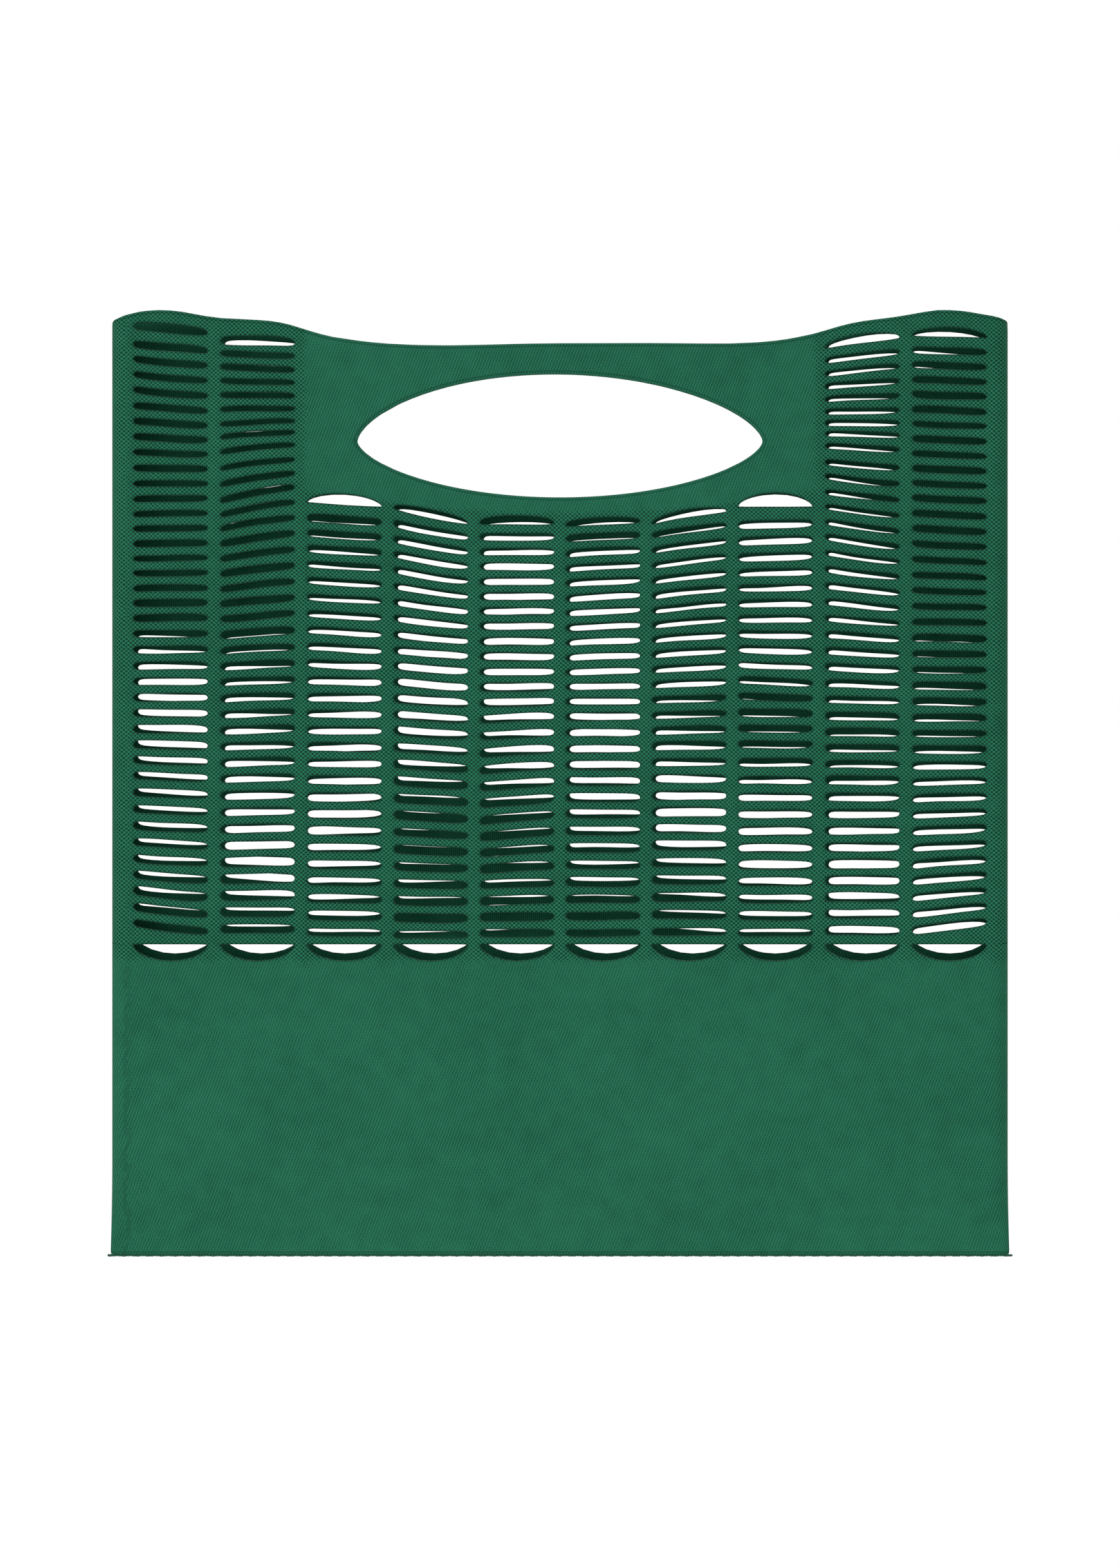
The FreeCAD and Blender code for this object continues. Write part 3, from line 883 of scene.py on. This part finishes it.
def knit(name):
    """Green knit. Its pattern follows the cloth, so it stays in place when a handle folds."""
    n = Nodes(name)
    cloth = n.attribute("cloth", "Vector")
    parts = n.add("ShaderNodeSeparateXYZ")
    n.link(cloth, parts.inputs[0])
    warp = n.noise(cloth, 0.22, 2)
    x = n.math("MULTIPLY_ADD", warp, 0.9, parts.outputs[0])
    z = n.math("MULTIPLY_ADD", warp, 0.5, parts.outputs[1])
    net_dots = stitch_pattern(n, x, z, *NET_STITCH)
    leaning = n.math("MULTIPLY_ADD", z, 0.35, x)
    plain_dots = stitch_pattern(n, leaning, z, *PLAIN_STITCH)
    net = n.attribute("net", "Fac")
    fuzz = n.noise(cloth, 2.6, 3)
    slow = n.noise(cloth, 0.018, 3)
    middle = n.noise(cloth, 0.12, 3)
    dots = n.math("ADD", n.math("MULTIPLY", net_dots, net),
                  n.math("MULTIPLY", plain_dots, n.math("SUBTRACT", 1.0, net)))
    sharp = n.math("POWER", dots, 1.6)
    shade = n.math("MULTIPLY", sharp, n.math("MULTIPLY_ADD", net, 0.36, 0.64))
    shade = n.math("MULTIPLY_ADD", n.math("SUBTRACT", fuzz, 0.5), 0.5, shade)
    shade = n.math("MULTIPLY_ADD", n.math("SUBTRACT", middle, 0.5), 0.25, shade)
    shade = n.math("MULTIPLY_ADD", n.math("SUBTRACT", slow, 0.5), 0.2, shade)
    shade = n.math("MULTIPLY_ADD", net, -0.03, shade)
    colour = n.mix(n.ramp(shade, -0.08, 0.82), LIGHT, DARK)
    # Painted shade along the slits: near a slit edge the colour goes towards darker greens,
    # striped by the real coils of the rolled edge.
    edge = n.attribute("edge", "Fac")
    rim = n.ramp(edge, 0.1, 1.1, 1.0, 0.0)
    coil = n.math("COSINE", n.math("MULTIPLY", x, 2 * math.pi / COIL_STITCH))
    coil = n.math("MULTIPLY_ADD", coil, 0.5, 0.5)
    rolled_edge_shade = n.mix(coil, SHADE_GREEN, DARK)
    colour = n.mix(n.math("MULTIPLY", rim, 0.28), colour, rolled_edge_shade)
    # Painted highlight along the open edges: the colour goes towards the light green right beside
    # the top edge, the lower edge and the hand opening.
    hem = n.attribute("hem", "Fac")
    colour = n.mix(n.ramp(hem, 0.2, 0.9, 0.3, 0.0), colour, LIGHT)
    # Painted shade: a thin dark line a little way in from the open edges.
    hem_shade_line = n.math("MULTIPLY", n.ramp(hem, 0.8, 1.1), n.ramp(hem, 1.3, 1.8, 0.45, 0.0))
    colour = n.mix(hem_shade_line, colour, DARK)
    # Painted shade on the inner side of the cloth: its colour goes towards darker greens, more in
    # the net, where the real coils of the knit stripe it.
    inner = n.attribute("inner", "Fac")
    ridges = n.math("MULTIPLY", net, n.math("MULTIPLY_ADD", coil, 0.75, -0.55))
    inside = n.mix(n.math("ADD", ridges, 0.75), SHADE_GREEN, INNER_SHADE_GREEN)
    inner_shade_share = n.math("MULTIPLY", inner, n.math("MULTIPLY_ADD", net, 0.5, 0.35))
    colour = n.mix(inner_shade_share, colour, inside)
    n.link(colour, n.shader.inputs["Base Color"])
    n.link(n.ramp(fuzz, 0.2, 0.8, 0.72, 0.92), n.shader.inputs["Roughness"])
    n.shader.inputs["Specular IOR Level"].default_value = 0.12
    n.shader.inputs["Sheen Weight"].default_value = 0.05
    n.shader.inputs["Sheen Roughness"].default_value = 0.5
    height_map = n.math("SUBTRACT", n.math("MULTIPLY", fuzz, 0.5), dots)
    height_map = n.math("MULTIPLY_ADD", n.math("MULTIPLY", coil, rim), 1.5, height_map)
    bump = n.add("ShaderNodeBump")
    bump.inputs["Strength"].default_value = 0.5
    bump.inputs["Distance"].default_value = 0.0003
    n.link(height_map, bump.inputs["Height"])
    n.link(bump.outputs[0], n.shader.inputs["Normal"])
    return n.material


LIGHT = linear(52, 142, 109)
DARK = linear(1, 56, 36)
# The next two greens are painted shade colours: the first for the slit edges and the inner side,
# the second for the inner side.
SHADE_GREEN = linear(5, 50, 36)
INNER_SHADE_GREEN = linear(36, 112, 86)
knitted = knit("green_knit")


def yarn():
    """The seam chain's yarn, with fine fibres."""
    n = Nodes("green_seam_yarn")
    place_node = n.add("ShaderNodeTexCoord")
    fibre = n.noise(place_node.outputs["Object"], 2400.0, 3)
    colour = n.mix(n.ramp(fibre, 0.3, 0.7), linear(26, 92, 66), linear(48, 116, 90))
    n.link(colour, n.shader.inputs["Base Color"])
    n.link(n.ramp(fibre, 0.2, 0.8, 0.7, 0.9), n.shader.inputs["Roughness"])
    bump = n.add("ShaderNodeBump")
    bump.inputs["Strength"].default_value = 0.4
    bump.inputs["Distance"].default_value = 0.0001
    n.link(fibre, bump.inputs["Height"])
    n.link(bump.outputs[0], n.shader.inputs["Normal"])
    return n.material


# ---- what each piece stands for ------------------------------------------------------------

STANDS_FOR = {
    "pouch": ("plain_knit", ["front_pouch", "back_pouch"]),
    "front_net": ("net_knit", [
        "front_left_net", "front_centre_net", "front_right_net", "front_yoke"]),
    "back_net": ("net_knit", [
        "back_left_net", "back_centre_net", "back_right_net", "back_yoke",
        "left_side_fold", "right_side_fold"]),
    "front_handle_left": ("plain_knit", ["front_handle"]),
    "front_handle_right": ("plain_knit", ["front_handle"]),
    "back_handle_left": ("plain_knit", ["back_handle"]),
    "back_handle_right": ("plain_knit", ["back_handle"]),
}

for name, (piece, size, area) in pieces.items():
    slot, nodes = STANDS_FOR[name]
    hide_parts(*nodes)
    piece.data.materials.append(knitted)
    if "handle" in name:
        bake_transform(piece)
    else:
        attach(piece, "bag")

chain.data.materials.append(yarn())
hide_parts("bottom_seam_thread")
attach(chain, "bag")


# ---- light, floor and camera ---------------------------------------------------------------

def area_light(name, place_at, target, size, power):
    """A round soft light that faces the target."""
    data = bpy.data.lights.new(name, "AREA")
    data.shape = "DISK"
    data.size = size
    data.energy = power
    lamp = bpy.data.objects.new(name, data)
    lamp.location = place_at
    direction = Vector(target) - Vector(place_at)
    lamp.rotation_euler = direction.to_track_quat("-Z", "Y").to_euler()
    bpy.context.scene.collection.objects.link(lamp)


centre = (cad_low + cad_high) / 2
# Powers are in watts. The key comes from the upper left, as in the photograph.
area_light("key", (-2.4, -1.7, 1.1), centre, 1.2, 29)
area_light("fill", (-0.3, -2.3, -1.25), centre, 1.4, 8)
area_light("side", (2.3, -1.2, 0.3), centre, 1.4, 8.5)
area_light("rear", (0.9, 2.4, 0.9), centre, 1.8, 34)

AMBIENT = 0.34
world = bpy.data.worlds.new("studio")
world.use_nodes = True
bpy.context.scene.world = world
tree = world.node_tree
background = tree.nodes["Background"]
background.inputs["Color"].default_value = (1, 1, 1, 1)
path = tree.nodes.new("ShaderNodeLightPath")
seen = tree.nodes.new("ShaderNodeMapRange")
seen.inputs["To Min"].default_value = AMBIENT
seen.inputs["To Max"].default_value = 1.0
tree.links.new(path.outputs["Is Camera Ray"], seen.inputs["Value"])
tree.links.new(seen.outputs["Result"], background.inputs["Strength"])


FLOOR_RADIUS = 0.55
FLOOR_DEPTH = 0.33


def floor():
    """Pale round floor under the hanging bag."""
    radius = FLOOR_RADIUS
    height = cad_low.z - FLOOR_DEPTH
    sides = 96
    bm = bmesh.new()
    rings = []
    for r, drop in ((radius - 0.01, 0.0), (radius, 0.004), (radius, 0.02)):
        ring = []
        for s in range(sides):
            angle = 2 * math.pi * s / sides
            ring.append(bm.verts.new((r * math.cos(angle), r * math.sin(angle), height - drop)))
        rings.append(ring)
    bm.faces.new(rings[0])
    for inner_ring, outer_ring in zip(rings, rings[1:]):
        for s in range(sides):
            n = (s + 1) % sides
            bm.faces.new((inner_ring[s], inner_ring[n], outer_ring[n], outer_ring[s]))
    bm.faces.new(rings[-1][::-1])
    bmesh.ops.recalc_face_normals(bm, faces=bm.faces)
    mesh = bpy.data.meshes.new("floor")
    bm.to_mesh(mesh)
    bm.free()
    disc = bpy.data.objects.new("floor", mesh)
    bpy.context.scene.collection.objects.link(disc)
    n = Nodes("pale_floor")
    coordinates = n.add("ShaderNodeTexCoord")
    grain = n.noise(coordinates.outputs["Object"], 9.0, 3)
    colour = n.mix(n.ramp(grain, 0.3, 0.7), (0.90, 0.90, 0.89, 1), (0.93, 0.93, 0.92, 1))
    n.link(colour, n.shader.inputs["Base Color"])
    n.shader.inputs["Roughness"].default_value = 0.85
    mesh.materials.append(n.material)


floor()

# The camera looks straight at the front, far enough away for almost parallel lines.
DISTANCE = 6.0
FRAME_HEIGHT = 0.6997
SENSOR = 36.0
camera_data = bpy.data.cameras.new("camera")
camera_data.sensor_width = SENSOR
camera_data.lens = SENSOR * DISTANCE / FRAME_HEIGHT
camera = bpy.data.objects.new("camera", camera_data)
camera.location = (0.0, cad_low.y - DISTANCE, centre.z)
camera.rotation_euler = (math.pi / 2, 0, 0)
bpy.context.scene.collection.objects.link(camera)
bpy.context.scene.camera = camera
bpy.context.scene.view_settings.view_transform = "Standard"
